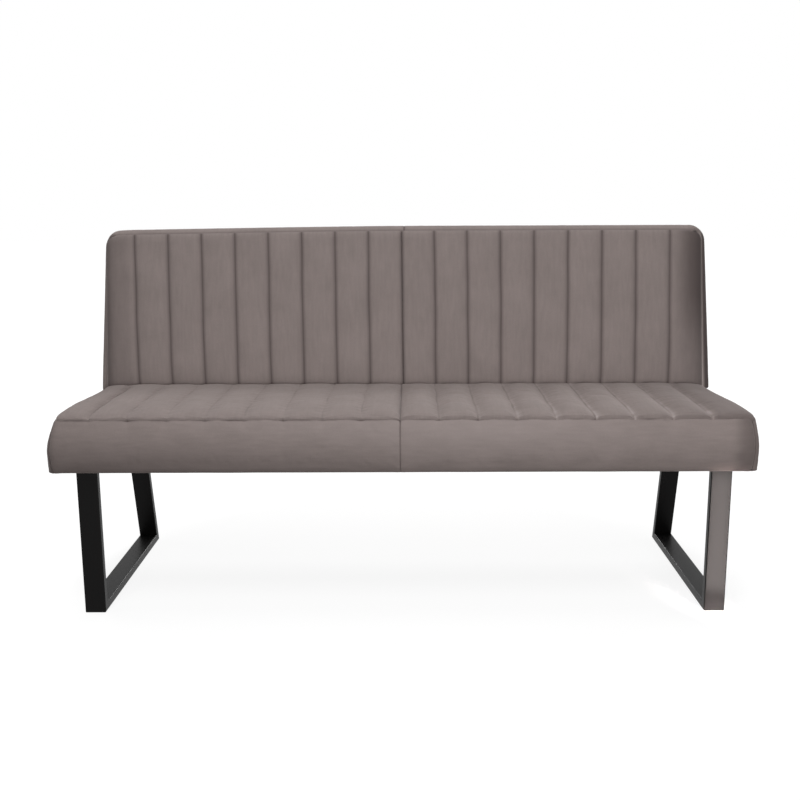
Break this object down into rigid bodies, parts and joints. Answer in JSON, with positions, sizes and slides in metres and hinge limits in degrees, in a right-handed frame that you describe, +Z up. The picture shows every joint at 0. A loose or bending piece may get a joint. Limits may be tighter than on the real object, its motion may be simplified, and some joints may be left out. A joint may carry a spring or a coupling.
{
  "type": "upholstered dining bench",
  "caption": "Dining bench with a leaning back: channel-quilted velvet seat and backrest over a wooden frame, carried on black sled legs of flat rectangular tube.",
  "frame": {"origin": "on the floor, in the middle of the footprint", "axes": "+X along the bench to the right of someone facing its front, -Y to the front, +Z up"},
  "size_m": [1.65, 0.601, 0.9115],
  "materials": {
    "velvet": "matte short-pile velvet",
    "black_steel": "satin black powder coat",
    "glide_plastic": "matte",
    "frame_wood": "planed, unfinished",
    "hardboard": "smooth",
    "zinc_steel": "bright zinc",
    "felt": "needled felt",
    "dust_cloth": "spunbond cloth",
    "foam": "open-cell foam"
  },
  "bodies": {
    "root": {"back_bottom_rail": "frame_wood", "back_bracket_inner_left": "zinc_steel", "back_bracket_inner_right": "zinc_steel", "back_bracket_outer_left": "zinc_steel", "back_bracket_outer_right": "zinc_steel", "back_cover_boxing_left": "velvet", "back_cover_boxing_right": "velvet", "back_cover_front_left": "velvet", "back_cover_front_right": "velvet", "back_cover_rear": "velvet", "back_end_stile_left": "frame_wood", "back_end_stile_right": "frame_wood", "back_foam": "foam", "back_hardboard": "hardboard", "back_post_inner_left": "frame_wood", "back_post_inner_right": "frame_wood", "back_post_outer_left": "frame_wood", "back_post_outer_right": "frame_wood", "back_top_rail": "frame_wood", "bracket_screws": "zinc_steel", "floor_glides": "glide_plastic", "leg_bolts": "zinc_steel", "leg_left_floor_rail": "black_steel", "leg_left_front_post": "black_steel", "leg_left_mounting_plate": "black_steel", "leg_left_rear_post": "black_steel", "leg_right_floor_rail": "black_steel", "leg_right_front_post": "black_steel", "leg_right_mounting_plate": "black_steel", "leg_right_rear_post": "black_steel", "leg_tee_nuts": "zinc_steel", "leg_washers": "zinc_steel", "seat_corner_blocks": "frame_wood", "seat_cover_end_left": "velvet", "seat_cover_end_right": "velvet", "seat_cover_front_left": "velvet", "seat_cover_front_right": "velvet", "seat_cover_rear": "velvet", "seat_cover_top_left": "velvet", "seat_cover_top_right": "velvet", "seat_cross_rail_left": "frame_wood", "seat_cross_rail_right": "frame_wood", "seat_dust_cover": "dust_cloth", "seat_end_rail_left": "frame_wood", "seat_end_rail_right": "frame_wood", "seat_foam": "foam", "seat_front_rail": "frame_wood", "seat_middle_rail": "frame_wood", "seat_rear_rail": "frame_wood", "seat_springs": "zinc_steel", "spring_clips": "zinc_steel", "spring_felt": "felt"}
  },
  "joints": []
}
